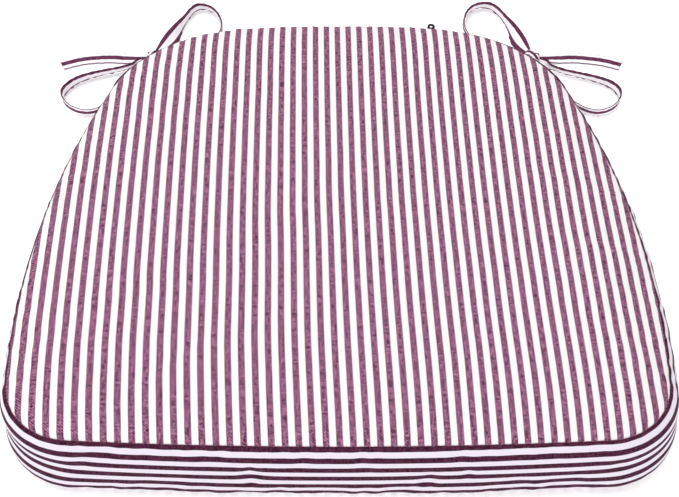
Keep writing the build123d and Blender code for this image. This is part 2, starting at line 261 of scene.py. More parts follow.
def spline_line(name, points, resolution=24):
    """Points along the smooth NURBS line of a route of control points."""
    data = bpy.data.curves.new(name, "CURVE")
    data.dimensions = "3D"
    spline = data.splines.new("NURBS")
    spline.points.add(len(points) - 1)
    for place, point in zip(spline.points, points):
        place.co = (*(Vector(point) * MM), 1)
    spline.order_u = 3
    spline.use_endpoint_u = True
    spline.resolution_u = resolution
    guide = bpy.data.objects.new(name, data)
    line = bpy.data.meshes.new_from_object(guide)
    found = np.array([v.co for v in line.vertices]) / MM
    bpy.data.meshes.remove(line)
    bpy.data.objects.remove(guide)
    bpy.data.curves.remove(data)
    return found


def strap(name, bow, kind, hand, seed):
    """One strap, a flat tube of ticking: sewn end, lead, knot, loop, knot, tail.

    It turns over inside the knot, so that its loop shows the other face; hand is the way it turns.
    """
    loop, tail = bow[f"{kind}_loop"], bow[f"{kind}_tail"]
    lift = SIDE_STRAP_LIFT if kind == "side" else 0.0
    middle = [(a + b) / 2 for a, b in zip(bow["exit"], bow["knot"])]
    route = [
        (*bow["exit"], LEAD_HEIGHT + lift),
        (*middle, LEAD_HEIGHT + lift),
        (*bow["knot"], KNOT_HEIGHT),
    ]
    route += [(*point, LOOP_HEIGHT) for point in loop]
    route.append((*bow["knot"], KNOT_HEIGHT))
    route += [(*point, TAIL_HEIGHT) for point in tail]
    line = spline_line(name, route)
    run = np.r_[0, np.cumsum(np.linalg.norm(np.diff(line, axis=0), axis=1))]
    control = np.linspace(0, 1, len(line)) * (len(route) - 2) + 0.5
    even = np.linspace(0, run[-1], int(run[-1] / STEP))
    path = np.stack([np.interp(even, run, line[:, k]) for k in range(3)], 1)
    control = np.interp(even, run, control)
    start, end = 2, 3 + len(loop)
    stages = [start + TURN_IN[0], start + TURN_IN[1], start + TURN_LENGTH[kind],
              end + TURN_OUT[0], end + TURN_OUT[1]]
    turns = np.array([0, pi, pi - hand * pi / 2, pi - hand * pi / 2, pi - hand * pi])
    stage = np.interp(control, stages, range(len(stages)))
    step = np.minimum(stage.astype(int), len(stages) - 2)
    share = stage - step
    share = share**2 * (3 - 2 * share)
    roll = (turns[step] * (1 - share) + turns[step + 1] * share)[:, None]
    upright = np.abs(np.sin(roll))
    along = np.gradient(path, axis=0)
    along /= np.linalg.norm(along, axis=1)[:, None]
    level = np.cross(along, UP)
    level /= np.linalg.norm(level, axis=1)[:, None]
    turned = np.clip((control - start) / (end - start), 0, 1)[:, None]
    lean = np.concatenate([np.interp(turned, [0, 0.5, 1], part) for part in zip(*LOOP_TILT[kind])], 1)
    tilt = lean - along * (along * lean).sum(1)[:, None]
    tilt /= np.linalg.norm(tilt, axis=1)[:, None]
    width = level * np.cos(roll) + tilt * np.sin(roll)
    width /= np.linalg.norm(width, axis=1)[:, None]
    face = np.cross(width, along)
    knot_place = np.array([*bow["knot"], KNOT_HEIGHT])
    from_knot = np.linalg.norm(path - knot_place, axis=1)
    gather = np.exp(-((from_knot / GATHER_REACH) ** 2))
    narrow = 1 - GATHER_SHARE * gather
    draw = np.random.default_rng(seed)
    wave = np.zeros(len(even))
    for wavelength in CREASE_LENGTHS:
        wave += np.sin(tau * (even / wavelength + draw.uniform())) / len(CREASE_LENGTHS)
    front = np.linspace(-1, 1, SECTION_POINTS)
    flat = np.r_[front, front[-2:0:-1]]
    thick = np.sqrt(1 - flat**SECTION_SQUARENESS) * np.r_[np.ones(len(front)), -np.ones(len(front) - 2)]
    columns_round = len(flat)
    half = STRAP_WIDTH / 2
    across = flat[None, :] * half * narrow[:, None]
    lower = 0.5 - 0.5 * flat[None, :] * np.sign(width[:, 2:3])
    edge_wave = EDGE_WAVE * wave[:, None] * lower**4 * upright
    fold = GATHER_FOLD * gather[:, None] * np.cos(3 * pi * flat[None, :])
    cup = CUP_DEPTH * upright * (flat[None, :] ** 2 - CUP_LEVEL)
    crease = CREASE_DEPTH * wave[:, None] * np.cos(2 * pi * flat[None, :])
    through = thick[None, :] * STRAP_THICKNESS / 2 + fold + cup + crease + edge_wave
    points = path[:, None] + width[:, None] * across[..., None] + face[:, None] * through[..., None]
    points[..., 2] = np.maximum(points[..., 2], FLOOR_GAP)
    span = np.where(thick >= 0, np.abs(flat) * half, STRAP_WIDTH - np.abs(flat) * half)
    thinner = THIN_EDGE * upright * (THIN_BASE - THIN_GROWTH * lower) * (thick < 0)[None, :]
    fabric = np.stack(
        [np.broadcast_to(span, across.shape), np.broadcast_to(even[:, None], across.shape), thinner], -1)
    obj = build(name, points, tube_faces(len(path), columns_round), fabric)
    return obj, path, run[-1]


straps = {}
seed = 10  # of the first strap's creases
for side, mirror in (("left", 1), ("right", -1)):
    for kind, hand in (("back", mirror), ("side", -mirror)):
        straps[side, kind] = strap(f"{side}_{kind}_strap", BOWS[side], kind, hand, seed)
        seed += 1


KNOT_ROWS = 40
KNOT_COLUMNS = 16
KNOT_HALF_THICKNESS = 0.9
KNOT_ROLL = 0.9
KNOT_CREASE = 0.35
KNOT_RIPPLE = 0.25
KNOT_LEAN_PHASE = 0.6
KNOT_FABRIC_STEP = 1.1
# The two bands of a left knot: axis, radius, width and how far the band leans along its axis.
KNOT_BANDS = [
    ((0.8, -0.6, 0), 4.7, 6.8, 1.0),
    ((0.5, 0.86, 0.1), 4.2, 6.2, -1.4),
]


def knot_band(centre, axis, radius, width, lean):
    """A flat band of ticking wrapped once round the knot, about an axis."""
    rows, columns_round = KNOT_ROWS, KNOT_COLUMNS
    axis = Vector(axis).normalized()
    side = axis.cross(UP).normalized()
    over = side.cross(axis)
    path = []
    for turn in np.arange(rows) * tau / rows:
        path.append(Vector(centre) + side * radius * cos(turn) + over * radius * sin(turn)
                    + axis * lean * sin(turn + KNOT_LEAN_PHASE))
    path = np.array(path)
    along = np.roll(path, -1, axis=0) - np.roll(path, 1, axis=0)
    along /= np.linalg.norm(along, axis=1)[:, None]
    out = path - np.array(centre)
    out -= along * (out * along).sum(1)[:, None]
    out /= np.linalg.norm(out, axis=1)[:, None]
    across = np.cross(along, out)
    turns = np.arange(columns_round) * tau / columns_round
    flat, thick = np.cos(turns), np.sin(turns)
    ripples = np.sin(np.arange(rows)[:, None] * tau * 3 / rows + 2 * flat[None, :])
    crease = KNOT_CREASE * np.cos(2.5 * pi * flat)[None, :] + KNOT_RIPPLE * ripples
    roll = KNOT_ROLL * (1 - flat[None, :] ** 2)
    through = thick[None, :] * KNOT_HALF_THICKNESS + crease + roll
    sideways = across[:, None] * (flat * width / 2)[None, :, None]
    points = path[:, None] + sideways + out[:, None] * through[..., None]
    faces = []
    for row in range(rows):
        for column in range(columns_round):
            beside, below = (column + 1) % columns_round, (row + 1) % rows
            faces.append((row * columns_round + column, row * columns_round + beside,
                          below * columns_round + beside, below * columns_round + column))
    half = STRAP_WIDTH / 2
    span = np.where(thick >= 0, np.abs(flat) * half, STRAP_WIDTH - np.abs(flat) * half)
    run = np.arange(rows) * KNOT_FABRIC_STEP
    fabric = np.stack([np.broadcast_to(span, (rows, columns_round)),
                       np.broadcast_to(run[:, None], (rows, columns_round)),
                       np.zeros((rows, columns_round))], -1)
    return points.reshape(-1, 3), faces, fabric.reshape(-1, 3)


def bow_knot(name, bow, mirror):
    """The knot: a band round the middle of the bow and a second one crossing it."""
    centre = (*bow["knot"], KNOT_HEIGHT)
    points, faces, fabric = [], [], []
    for (x, y, z), radius, width, lean in KNOT_BANDS:
        band_points, band_faces, band_fabric = knot_band(centre, (x * mirror, y, z), radius, width, lean)
        start = sum(len(p) for p in points)
        points.append(band_points)
        faces += [tuple(start + i for i in face) for face in band_faces]
        fabric.append(band_fabric)
    points = np.concatenate(points)
    points[:, 2] = np.maximum(points[:, 2], FLOOR_GAP)
    return build(name, points, faces, np.concatenate(fabric))


knots = {}
for side, bow in BOWS.items():
    knots[side] = bow_knot(f"{side}_knot_wrap", bow, 1 if side == "left" else -1)

TIE_TACK_COUNT = 6
TIE_TACK_OFFSET = 6.2
TIE_TACK_HALF_LENGTH = 5.2
TIE_TACK_HEIGHT = 8.1
TIE_TACK_ARCH = 0.45


def tie_tack(side, bow):
    """The bar tack across both leads, just outside the boxing."""
    exit_point, knot_point = Vector(bow["exit"]), Vector(bow["knot"])
    lead = (knot_point - exit_point).normalized()
    across = Vector((-lead.y, lead.x))
    middle = exit_point + lead * TIE_TACK_OFFSET

    def place(shift, share):
        foot = middle + lead * shift + across * TIE_TACK_HALF_LENGTH * (1 - 2 * share)
        return (*foot, TIE_TACK_HEIGHT + TIE_TACK_ARCH * sin(pi * share))

    return bar_tack(f"{side}_tie_tack_thread", TIE_TACK_COUNT, place)


tie_tacks = {side: tie_tack(side, bow) for side, bow in BOWS.items()}


# --- plan outline ------------------------------------------------------------------------
def corner_centre(circle_a, circle_b, corner_radius, side):
    """Centre of the corner arc that touches two larger arcs from inside."""
    centre_a, radius_a = circle_a
    centre_b, radius_b = circle_b
    reach_a = radius_a - corner_radius
    reach_b = radius_b - corner_radius
    span = centre_b - centre_a
    along = (reach_a**2 - reach_b**2 + span.length**2) / (2 * span.length)
    across = side * sqrt(reach_a**2 - along**2)
    direction = span.normalized()
    return centre_a + direction * along + Vector((-direction.y, direction.x)) * across


def outline_arcs():
    """Right half of the seam, from the back middle to the front middle: centre, radius, angles."""
    front = Vector((0, FRONT_RADIUS - PAD_DEPTH / 2))
    flank = Vector((PAD_WIDTH / 2 - SIDE_RADIUS, WIDEST_Y))
    back = Vector((0, PAD_DEPTH / 2 - BACK_RADIUS))
    front_corner = corner_centre((front, FRONT_RADIUS), (flank, SIDE_RADIUS), FRONT_CORNER_RADIUS, 1)
    back_corner = corner_centre((back, BACK_RADIUS), (flank, SIDE_RADIUS), BACK_CORNER_RADIUS, -1)
    turns = [pi / 2]
    for middle, corner in ((back, back_corner), (flank, back_corner), (flank, front_corner),
                           (front, front_corner)):
        step = corner - middle
        turns.append(atan2(step.y, step.x))
    turns.append(-pi / 2)
    centres = [back, back_corner, flank, front_corner, front]
    radii = [BACK_RADIUS, BACK_CORNER_RADIUS, SIDE_RADIUS, FRONT_CORNER_RADIUS, FRONT_RADIUS]
    return list(zip(centres, radii, turns[:-1], turns[1:]))


arcs = outline_arcs()
arc_lengths = [radius * (start - end) for _, radius, start, end in arcs]
half_length = sum(arc_lengths)


def outline_at(station):
    """Seam point and outward direction at a length along the seam, rightwards from the back."""
    left = abs(station)
    for (centre, radius, start, _), length in zip(arcs, arc_lengths):
        if left <= length or centre == arcs[-1][0]:
            break
        left -= length
    turn = start - left / radius
    direction = Vector((cos(turn), sin(turn)))
    point = centre + direction * radius
    if station < 0:
        return (-point.x, point.y), (-direction.x, direction.y)
    return tuple(point), tuple(direction)


def even_steps(start, end, spacing):
    """Evenly spaced values from start up to end, which is left out."""
    return np.linspace(start, end, ceil((end - start) / spacing), endpoint=False)


COLUMN_SPACING = 4.7
gusset_station = GUSSET_HALF_LENGTH * BACK_RADIUS / WALL_RADIUS
half_stations = np.r_[
    even_steps(0, gusset_station, COLUMN_SPACING),
    even_steps(gusset_station, half_length, COLUMN_SPACING),
    half_length,
]
gusset_column = len(even_steps(0, gusset_station, COLUMN_SPACING))
stations = np.r_[half_stations, -half_stations[-2:0:-1]]
outline = np.array([outline_at(s) for s in stations])
seam_points, seam_outward = outline[:, 0], outline[:, 1]


# --- rings of the cover --------------------------------------------------------------------
TOP_RINGS = [188, 172, 156, 140, 124, 109, 95, 82, 70, 59, 49, 40, 32, 25, 19, 14, 10, 7, 4.5, 2.5, 1.1]
WALL_RINGS = [0, 1.1, 2.5, 4.5, 7, 10, 13.5, 17, 20, 25, 30, 33, 36.5, 40, 43, 45.5, 47.5, 48.9, 50]
BASE_RINGS = [1.1, 2.5, 4.5, 7, 10, 14, 20, 30, 45, 65, 90, 120, 150, 180]
PLAN_REACH = PAD_DEPTH / 2
BASE_REACH = 9.3

first_wall = len(TOP_RINGS)
last_wall = first_wall + len(WALL_RINGS) - 1


def crown(distance):
    """Rise of the top panel above its seam, at a distance in from the seam."""
    return CROWN_HEIGHT * (1 - (1 - np.minimum(distance / CROWN_REACH, 1)) ** 3)


def bulge(depth):
    """How far the boxing stands out, at a depth below the top seam; fuller towards the floor."""
    share = 1 - 2 * depth / BOXING_HEIGHT
    return BOXING_BULGE * (1 - abs(share) ** (3 if share > 0 else 6))


# How far the back edge of the top stands above the level of its seam, at X either side.
BACK_LIFT = ([0, 40, 80, 115, 150], [0.8, 1.8, 3.2, 2.0, 0.0])
LIFT_REACH = 35.0
BACK_FLATTER = 0.2

facing_back = np.clip(seam_outward[:, 1:], 0, 1) ** 6
back_lift = np.interp(np.abs(seam_points[:, 0]), *BACK_LIFT) * facing_back[:, 0]
back_flatter = 1 - BACK_FLATTER * facing_back


def ring(shrink, grow, height):
    """One closed ring round the pad; the cover leans to one side above its middle height."""
    share = np.clip((height - MID_HEIGHT) / (TOP_SEAM - MID_HEIGHT), 0, 1)
    inset = SEAM_INSET * seam_outward[:, :1] ** 2 * share**3
    plan = seam_points * shrink + seam_outward * (grow - inset)
    lift = back_lift * share * np.exp(-(1 - shrink) * PLAN_REACH / LIFT_REACH)
    return np.c_[plan[:, 0] + SEAM_SHIFT * share, plan[:, 1], height + lift]


def cover_rings(inset=0.0, lowest=0.0, highest=TOP_SEAM + CROWN_HEIGHT):
    """Rings from the middle of the top, over the boxing, to the middle of the base.

    A layer inside the cover is inset evenly, and cut level at its lowest and highest heights.
    """
    rings = []
    for d in TOP_RINGS:
        height = np.clip(TOP_SEAM + crown(d) - inset, lowest, highest)
        rings.append(ring(1 - d / PLAN_REACH, -inset, height))
    for q in WALL_RINGS:
        height = np.clip(TOP_SEAM - q, max(lowest, BOTTOM_SEAM + inset), min(highest, TOP_SEAM - inset))
        rings.append(ring(1, bulge(TOP_SEAM - height) * back_flatter - inset, height))
    for d in BASE_RINGS:
        share = 1 - min(d / BASE_REACH, 1)
        height = np.clip(BOTTOM_SEAM * share**2 + FLOOR_GAP + inset, lowest, highest)
        rings.append(ring(1 - d / PLAN_REACH, -inset, height))
    return np.array(rings)


seam_distance = np.array(
    TOP_RINGS + [min(q, BOXING_HEIGHT - q) for q in WALL_RINGS] + BASE_RINGS, float)


def ring_facing():
    """Outward direction of each ring's surface, as its share of outwards and of up."""
    soften = np.exp(-seam_distance / 3)
    turn = np.zeros(len(seam_distance))
    turn[:first_wall] = 90 - 45 * soften[:first_wall]
    half = first_wall + len(WALL_RINGS) // 2
    turn[first_wall:half] = 45 * soften[first_wall:half]
    turn[half:last_wall + 1] = -45 * soften[half:last_wall + 1]
    turn[last_wall + 1:] = -90 + 45 * soften[last_wall + 1:]
    return np.cos(np.radians(turn)), np.sin(np.radians(turn))


def facing_vectors(outward):
    """Outward directions of every point of the cover."""
    level, rise = ring_facing()
    flat = np.broadcast_to(outward, (len(level), *outward.shape)) * level[:, None, None]
    return np.concatenate([flat, np.broadcast_to(rise[:, None, None], (*flat.shape[:2], 1))], 2)


# --- inflate the cover ---------------------------------------------------------------------
PRESSURE = 4.0
SLACK = -0.004
FRAMES = 20
TOP_CAP = 1.0
WALL_CAP = 0.7
SIDEWAYS_CAP = 0.25


def inflate(rings):
    """Blow the cover up as cloth held at its seams and its base, and return the moved rings."""
    rows, columns = rings.shape[:2]
    faces = grid_faces(rows, columns, closed=True)
    faces += end_caps(rows, columns)
    balloon = build("balloon", rings, faces)
    held = balloon.vertex_groups.new(name="held")
    held_rows = [first_wall, *range(last_wall, rows)]
    held.add([row * columns + column for row in held_rows for column in range(columns)], 1, "REPLACE")
    cloth = balloon.modifiers.new("cloth", "CLOTH")
    cloth.settings.quality = 5
    cloth.settings.mass = 0.3
    cloth.settings.tension_stiffness = 15
    cloth.settings.compression_stiffness = 15
    cloth.settings.bending_stiffness = 0.6
    cloth.settings.use_pressure = True
    cloth.settings.uniform_pressure_force = PRESSURE
    cloth.settings.shrink_min = SLACK
    cloth.settings.vertex_group_mass = "held"
    cloth.settings.effector_weights.gravity = 0
    cloth.collision_settings.use_collision = False
    scene = bpy.context.scene
    for number in range(1, FRAMES + 1):
        scene.frame_set(number)
    settled = balloon.evaluated_get(bpy.context.evaluated_depsgraph_get())
    moved = np.array([v.co for v in settled.data.vertices]).reshape(rings.shape) / MM
    scene.frame_set(1)
    bpy.data.objects.remove(balloon)
    return moved


def capped(move, cap):
    """A move that grows smoothly up to its cap and no further."""
    size = np.linalg.norm(move, axis=2, keepdims=True) + 1e-9
    return move / size * cap * np.tanh(size / cap)


def settle(rings, moved):
    """Keep the unevenness of the inflated cloth; the foam holds each ring's average height."""
    step = moved - rings
    normal = facing_vectors(seam_outward)
    rise = (step * normal).sum(2, keepdims=True)
    sideways = step - rise * normal
    cap = np.full((len(rings), 1, 1), TOP_CAP)
    cap[first_wall:] = WALL_CAP
    lift = (rise - rise.mean(axis=1, keepdims=True)) * normal
    return rings + capped(lift, cap) + capped(sideways, SIDEWAYS_CAP)


rest_rings = cover_rings()
cover = rest_rings
cover = settle(rest_rings, inflate(rest_rings))


def halfway(values):
    """Twice as many columns, the new ones on a smooth curve through the old."""
    before, after = np.roll(values, 1, axis=1), np.roll(values, -1, axis=1)
    beyond = np.roll(values, -2, axis=1)
    middle = (9 * (values + after) - before - beyond) / 16
    out = np.empty((values.shape[0], 2 * values.shape[1], values.shape[2]))
    out[:, 0::2], out[:, 1::2] = values, middle
    return out


cover = halfway(cover)
rest = halfway(rest_rings)
outward = halfway(np.broadcast_to(seam_outward, (1, *seam_outward.shape)))[0]
outward /= np.linalg.norm(outward, axis=1)[:, None]
facing = facing_vectors(outward)
columns = cover.shape[1]
seam_run = np.r_[0, np.cumsum(np.linalg.norm(np.diff(rest[first_wall], axis=0), axis=1))]
seam_total = seam_run[-1] + np.linalg.norm(rest[first_wall, 0] - rest[first_wall, -1])


def ripple(position, wavelength, seed):
    """Smooth noise round the closed seam, from a few waves near one wavelength."""
    draw = np.random.default_rng(seed)
    count = seam_total / wavelength
    waves = np.zeros_like(position)
    for _ in range(9):
        cycles = round(count * draw.uniform(0.6, 1.6))
        waves += np.sin(tau * (cycles * position / seam_total + draw.uniform()))
    return waves / 3


PUCKER = 0.16
pucker = ripple(seam_run, 11, 1)[None, :, None] * np.exp(-seam_distance / 6)[:, None, None]
groove = np.exp(-((seam_distance / GROOVE_WIDTH) ** 2))[:, None, None]
cover = cover - facing * (GROOVE_DEPTH * groove + PUCKER * pucker * (seam_distance < 40)[:, None, None])
cover[:, :, 2] = np.maximum(cover[:, :, 2], FLOOR_GAP)


def tuck(seam_row, drop):
    """The hidden edge of a panel, turned in behind its seam."""
    inner = cover[seam_row].copy()
    inner[:, :2] -= outward * TUCK_DEPTH
    inner[:, 2] += drop
    return inner


# --- stripes: fabric coordinates -----------------------------------------------------------
TOP_PHASE = -0.45
DRIFT = 1.1
DRIFT_SLOPE = 0.0085
# How the drift fades: distance in from the front seam, and its share there.
DRIFT_FADE = ([0, 11, 24, 44, 75], [1, 0.8, 0.6, 0.35, 0])
STRIPE_SKEW = 0.0241
STRIPE_TWIST = 0.0046 / 200
STRIPE_BOW_ACROSS = 0.0236 / 200
STRIPE_SQUEEZE = 0.0092 / 4e4
STRIPE_BOW_ALONG = 0.0068 / 200


def front_drift(x, distance):
    """Sideways pull of the stripes where the top panel is eased into the front seam."""
    return -(DRIFT - DRIFT_SLOPE * x) * np.interp(distance, *DRIFT_FADE)


def top_stripes(points):
    """Fabric coordinates of the top panel, whose stripes run front to back and bow slightly."""
    x, y = points[..., 0], points[..., 1]
    across = x + STRIPE_SKEW * y - STRIPE_TWIST * x * y
    across = across + STRIPE_BOW_ACROSS * x**2 - STRIPE_SQUEEZE * x**3 - STRIPE_BOW_ALONG * y**2
    across = across + front_drift(x, y + PAD_DEPTH / 2) + TOP_PHASE
    return np.stack([across, y, np.zeros_like(x)], -1)


# How far the boxing's first stripe stands out of the top seam, at X from left to right.
FIRST_STRIPE = ([-215, -120, -40, 60, 130, 215], [0.4, 0.9, 1.3, 1.1, 0.3, -0.2])
WALL_STRETCH = 1.02


def wall_stripes(rows):
    """Fabric coordinates of the boxing, whose stripes run round the pad."""
    depth = np.array([WALL_RINGS[r - first_wall] for r in rows], float)[:, None]
    x = rest[rows][..., 0]
    first = np.interp(x, *FIRST_STRIPE)
    run = np.broadcast_to(seam_run, x.shape)
    return np.stack([depth * WALL_STRETCH - first, run, np.zeros_like(x)], -1)


# --- cover panels --------------------------------------------------------------------------
PANEL_TUCK_DROP = 0.5
BOXING_TUCK_DROP = 1.7
SLOT_TOP_DEPTH = 20
SLOT_BOTTOM_DEPTH = 30

top_rows = list(range(first_wall + 1))
top_grid = np.concatenate([cover[top_rows], tuck(first_wall, -PANEL_TUCK_DROP)[None]])
top_fabric = top_stripes(np.concatenate([rest[top_rows], rest[first_wall][None]]))
top_faces = grid_faces(len(top_grid), columns, closed=True)
top_faces.append(end_caps(len(top_grid), columns)[0])
top_panel = thicken(build("cover_top_panel", top_grid, top_faces, top_fabric), CLOTH)

base_rows = list(range(last_wall, len(cover)))
base_grid = np.concatenate([tuck(last_wall, PANEL_TUCK_DROP)[None], cover[base_rows]])
base_points = np.concatenate([rest[last_wall][None], rest[base_rows]])
base_fabric = np.stack([base_points[..., 0], base_points[..., 1], base_points[..., 2] * 0], -1)
base_faces = grid_faces(len(base_grid), columns, closed=True)
base_faces.append(end_caps(len(base_grid), columns)[1])
bottom_panel = thicken(build("cover_bottom_panel", base_grid, base_faces, base_fabric), CLOTH)

edge_column = 2 * gusset_column
wall_rows = list(range(first_wall, last_wall + 1))
wall_grid = np.concatenate([
    tuck(first_wall, -BOXING_TUCK_DROP)[None],
    cover[wall_rows],
    tuck(last_wall, BOXING_TUCK_DROP)[None],
])
wall_fabric = wall_stripes([first_wall, *wall_rows, last_wall])


def wall_piece(name, row_slice, column_list):
    """Part of the boxing, as an open grid of cloth."""
    grid = wall_grid[row_slice][:, column_list]
    fabric = wall_fabric[row_slice][:, column_list]
    piece = build(name, grid, grid_faces(*grid.shape[:2]), fabric)
    return thicken(piece, CLOTH)


strip_columns = list(range(edge_column, columns - edge_column + 1))
boxing = wall_piece("cover_boxing_strip", slice(None), strip_columns)
gusset_columns = [c % columns for c in range(-edge_column, edge_column + 1)]
slot_top = WALL_RINGS.index(SLOT_TOP_DEPTH) + 2
slot_bottom = WALL_RINGS.index(SLOT_BOTTOM_DEPTH) + 1
beyond_zip = np.abs(wall_grid[0, :, 0]) > ZIP_HALF_LENGTH
for row, height in ((slot_top - 1, MID_HEIGHT + SLOT_CLOSING), (slot_bottom, MID_HEIGHT - SLOT_CLOSING)):
    wall_fabric[row, beyond_zip, 0] += wall_grid[row, beyond_zip, 2] - height
    wall_grid[row, beyond_zip, 2] = height
gussets = {
    "upper": wall_piece("cover_zip_gusset_upper", slice(0, slot_top), gusset_columns),
    "lower": wall_piece("cover_zip_gusset_lower", slice(slot_bottom, None), gusset_columns),
}

# --- seam and zip stitching ------------------------------------------------------------------
SEAM_STITCH = {"length": 1.9, "pitch": 3.0, "radius": 0.22, "rise": 0.2}
SEAM_STITCH_STANDOFF = 0.1
TOPSTITCH = {"length": 2.3, "pitch": 3.1, "radius": 0.28, "rise": 0.3}
# The topstitches run between two rings of the boxing, this share of the way towards the far one.
TOPSTITCH_SHIFT = 0.15

seam_threads = {}
for seam, row in (("top", first_wall), ("bottom", last_wall)):
    line = np.concatenate([cover[row], cover[row][:1]])
    normals = np.concatenate([facing[row], facing[row][:1]])
    line = line + normals * SEAM_STITCH_STANDOFF
    seam_threads[seam] = stitches(f"{seam}_seam_stitches", line, normals, **SEAM_STITCH)

zip_columns = [c for c in gusset_columns if abs(rest[first_wall, c, 0]) < ZIP_HALF_LENGTH]
topstitches = {}
for half, near, far in (("upper", WALL_RINGS.index(17), WALL_RINGS.index(20)),
                        ("lower", WALL_RINGS.index(33), WALL_RINGS.index(30))):
    line = cover[first_wall + near] * (1 - TOPSTITCH_SHIFT) + cover[first_wall + far] * TOPSTITCH_SHIFT
    normals = facing[first_wall + near][zip_columns]
    topstitches[half] = stitches(f"zip_topstitch_{half}_thread", line[zip_columns], normals, **TOPSTITCH)

# --- zip coils, slider and pull ----------------------------------------------------------------
COIL_PITCH = 1.5
COIL_WIRE = 0.34
COIL_HALF_WIDTH = 1.75
COIL_HALF_DEPTH = 0.5
COIL_RADIUS = 503.2
COIL_OVERLAP = 0.1
COIL_STEPS = 10
back_centre = Vector((0, PAD_DEPTH / 2 - BACK_RADIUS))


def on_wall(length, radius, height):
    """A point at a length along the back wall, a radius about its centre and a height."""
    turn = length / WALL_RADIUS
    return (back_centre.x + radius * sin(turn), back_centre.y + radius * cos(turn), height)


coils = {}
for half, up in (("upper", 1), ("lower", -1)):
    turns = int(2 * ZIP_HALF_LENGTH / COIL_PITCH) - 1
    path = []
    middle = MID_HEIGHT + up * (COIL_HALF_WIDTH - COIL_OVERLAP)
    for step in range(turns * COIL_STEPS + 1):
        phase = tau * (step / COIL_STEPS + (0.5 if up < 0 else 0))
        length = -ZIP_HALF_LENGTH + COIL_PITCH * (step / COIL_STEPS + 0.5)
        path.append(on_wall(length, COIL_RADIUS + COIL_HALF_DEPTH * cos(phase),
                            middle + up * COIL_HALF_WIDTH * sin(phase)))
    rings = tube_points(path, COIL_WIRE, THREAD_SIDES)
    coils[half] = build(f"zip_coil_{half}_loops", rings, tube_faces(len(path), THREAD_SIDES))


def smoothed_copy(node, name, bevel):
    """A rigid CAD node again, with its sharp edges rounded."""
    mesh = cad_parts[node].data.copy()
    shape = bmesh.new()
    shape.from_mesh(mesh)
    bmesh.ops.remove_doubles(shape, verts=shape.verts, dist=1e-6)
    bmesh.ops.dissolve_limit(shape, angle_limit=radians(4), verts=shape.verts, edges=shape.edges)
    shape.to_mesh(mesh)
    shape.free()
    mesh.name = name
    mesh.shade_smooth()
    obj = bpy.data.objects.new(name, mesh)
    bpy.context.scene.collection.objects.link(obj)
    edge = obj.modifiers.new("rounded edges", "BEVEL")
    edge.width = bevel * MM
    edge.segments = 3
    edge.limit_method = "ANGLE"
    edge.angle_limit = radians(35)
    edge.harden_normals = True
    return obj


slider = smoothed_copy("zip_slider", "zip_slider_cast", 0.22)
pull = smoothed_copy("zip_pull", "zip_pull_tab", 0.25)

END_TACK_COUNT = 7
END_TACK_REACH = 84.0
END_TACK_STANDOFF = 1.05
END_TACK_ARCH = 0.35
END_TACK_HALF_LENGTH = 4.6


def end_tack(end, reach):
    """The bar tack across both coils at one end of the zip."""
    def place(shift, share):
        radius = COIL_RADIUS + END_TACK_STANDOFF + END_TACK_ARCH * sin(pi * share)
        return on_wall(reach + shift, radius, MID_HEIGHT + END_TACK_HALF_LENGTH * (1 - 2 * share))

    return bar_tack(f"zip_end_tack_{end}_thread", END_TACK_COUNT, place)


end_tacks = {"closed": end_tack("closed", END_TACK_REACH), "open": end_tack("open", -END_TACK_REACH)}

# --- filling ----------------------------------------------------------------------------------
# Each layer: its inset from the cover, its lowest and highest heights, and its lumps.
FOAM = {"inset": 3.4, "bottom": 6.4, "top": 51.6, "lumps": 0.0}
WADDING_TOP = {"inset": 2.2, "bottom": 52.0, "top": 80.0, "lumps": 0.5}
WADDING_BOTTOM = {"inset": 1.6, "bottom": 0.0, "top": 6.0, "lumps": 0.2}
LUMP_WAVES = 12
LUMP_SPREAD = 0.045


def filling(name, inset, bottom, top, lumps, seed):
    """A closed soft layer inside the cover, cut level at bottom and top where it meets another."""
    rings = cover_rings(inset, bottom, top)
    draw = np.random.default_rng(seed)
    noise = np.zeros(rings.shape[:2])
    for _ in range(LUMP_WAVES):
        wave = draw.normal(0, LUMP_SPREAD, 2)
        noise += np.sin(rings[..., 0] * wave[0] + rings[..., 1] * wave[1] + draw.uniform(0, tau))
    rings = rings - facing_vectors(seam_outward) * (lumps * (1 + noise / LUMP_WAVES))[..., None]
    rows, count = rings.shape[:2]
    faces = grid_faces(rows, count, closed=True)
    return build(name, rings, faces + end_caps(rows, count))


foam = filling("foam_core_block", **FOAM, seed=21)
wadding = {
    "top": filling("wadding_top_layer", **WADDING_TOP, seed=22),
    "bottom": filling("wadding_bottom_layer", **WADDING_BOTTOM, seed=23),
}


